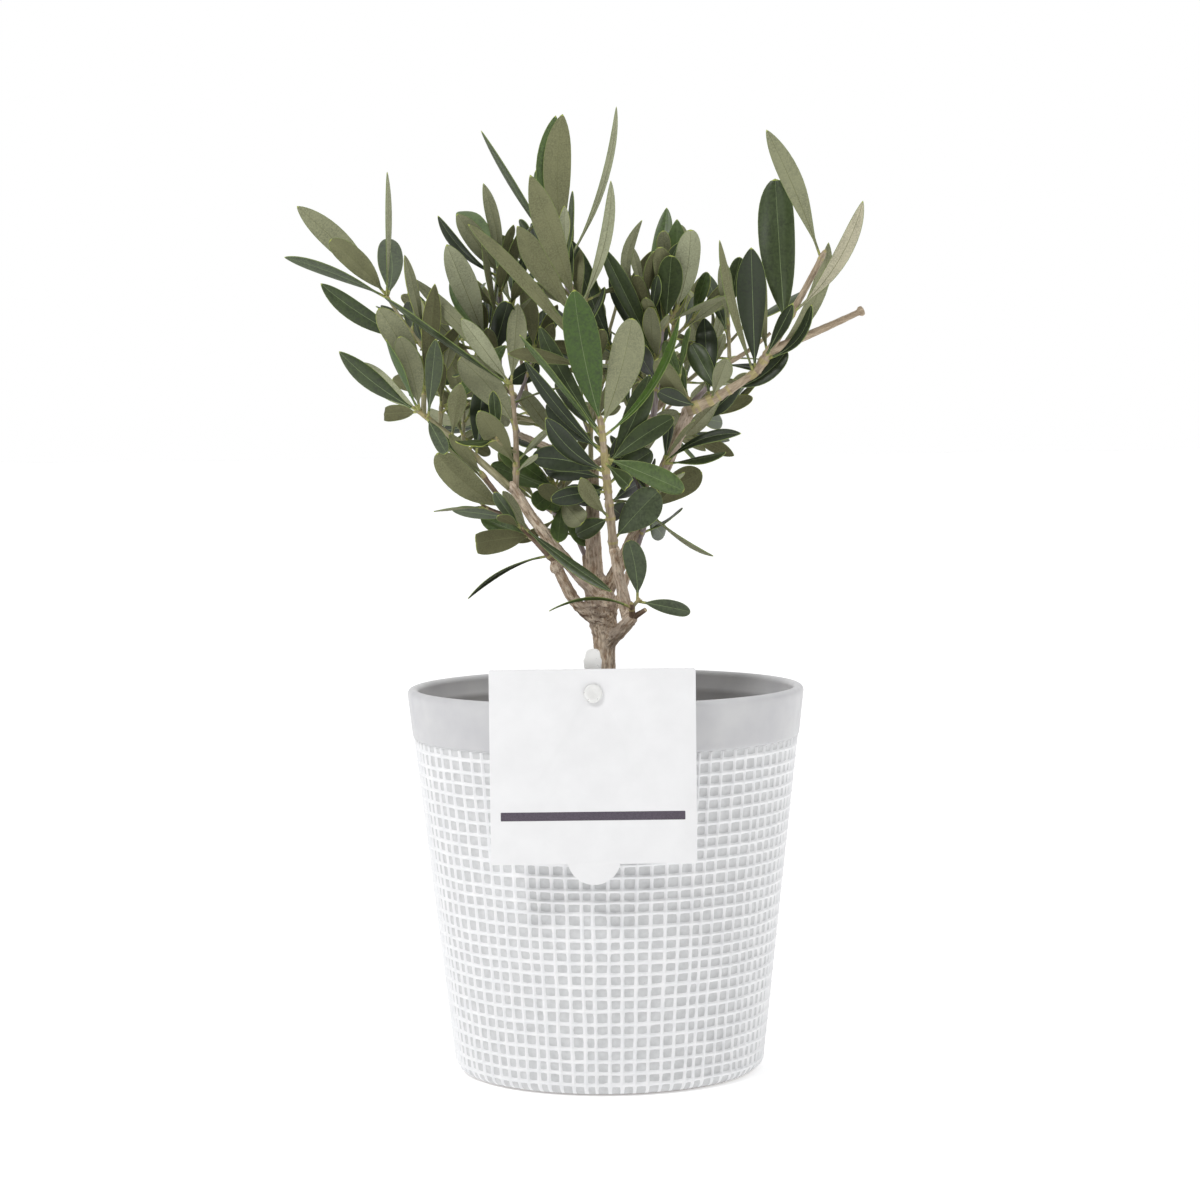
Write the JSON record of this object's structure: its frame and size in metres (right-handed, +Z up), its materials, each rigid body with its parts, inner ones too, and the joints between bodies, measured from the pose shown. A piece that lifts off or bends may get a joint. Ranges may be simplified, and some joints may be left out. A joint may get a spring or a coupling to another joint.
{
  "type": "potted olive tree",
  "caption": "Small young olive tree with a short forked trunk and an open crown of narrow grey-green leaves, in a tapered ceramic pot with a raised grid and a bare card tag.",
  "frame": {"origin": "centre of the pot's flat underside", "axes": "+Z up along the pot's axis, -Y towards the front with the tag, +X to the right seen from the front"},
  "size_m": [0.1904, 0.1461, 0.3162],
  "materials": {
    "pot": "light grey glaze with raised white lines",
    "soil": "dark crumbly potting soil",
    "bark": "grey-brown bark, matt",
    "foliage": "leathery leaves, dark grey-green above and pale grey-olive below",
    "card": "smooth white coated card",
    "clear": "clear moulded plastic"
  },
  "bodies": {
    "root": {"pot": "pot", "soil": "soil", "trunk": "bark", "tag_card": "card", "tag_holder": "clear", "low_left_bough": "bark", "left_bough": "bark", "centre_bough": "bark", "front_bough": "bark", "right_bough": "bark", "cross_bough": "bark", "inner_bough": "bark", "low_right_bough": "bark", "low_back_bough": "bark", "low_spur": "bark", "back_bough": "bark", "low_left_leaves": "foliage", "left_outer_leaves": "foliage", "left_upright_leaves": "foliage", "left_back_leaves": "foliage", "front_leaves": "foliage", "centre_right_leaves": "foliage", "right_outer_leaves": "foliage", "right_inner_leaves": "foliage", "low_right_leaves": "foliage", "spur_leaves": "foliage", "low_back_leaves": "foliage", "back_left_leaves": "foliage", "back_right_leaves": "foliage", "back_top_leaves": "foliage"}
  },
  "joints": []
}
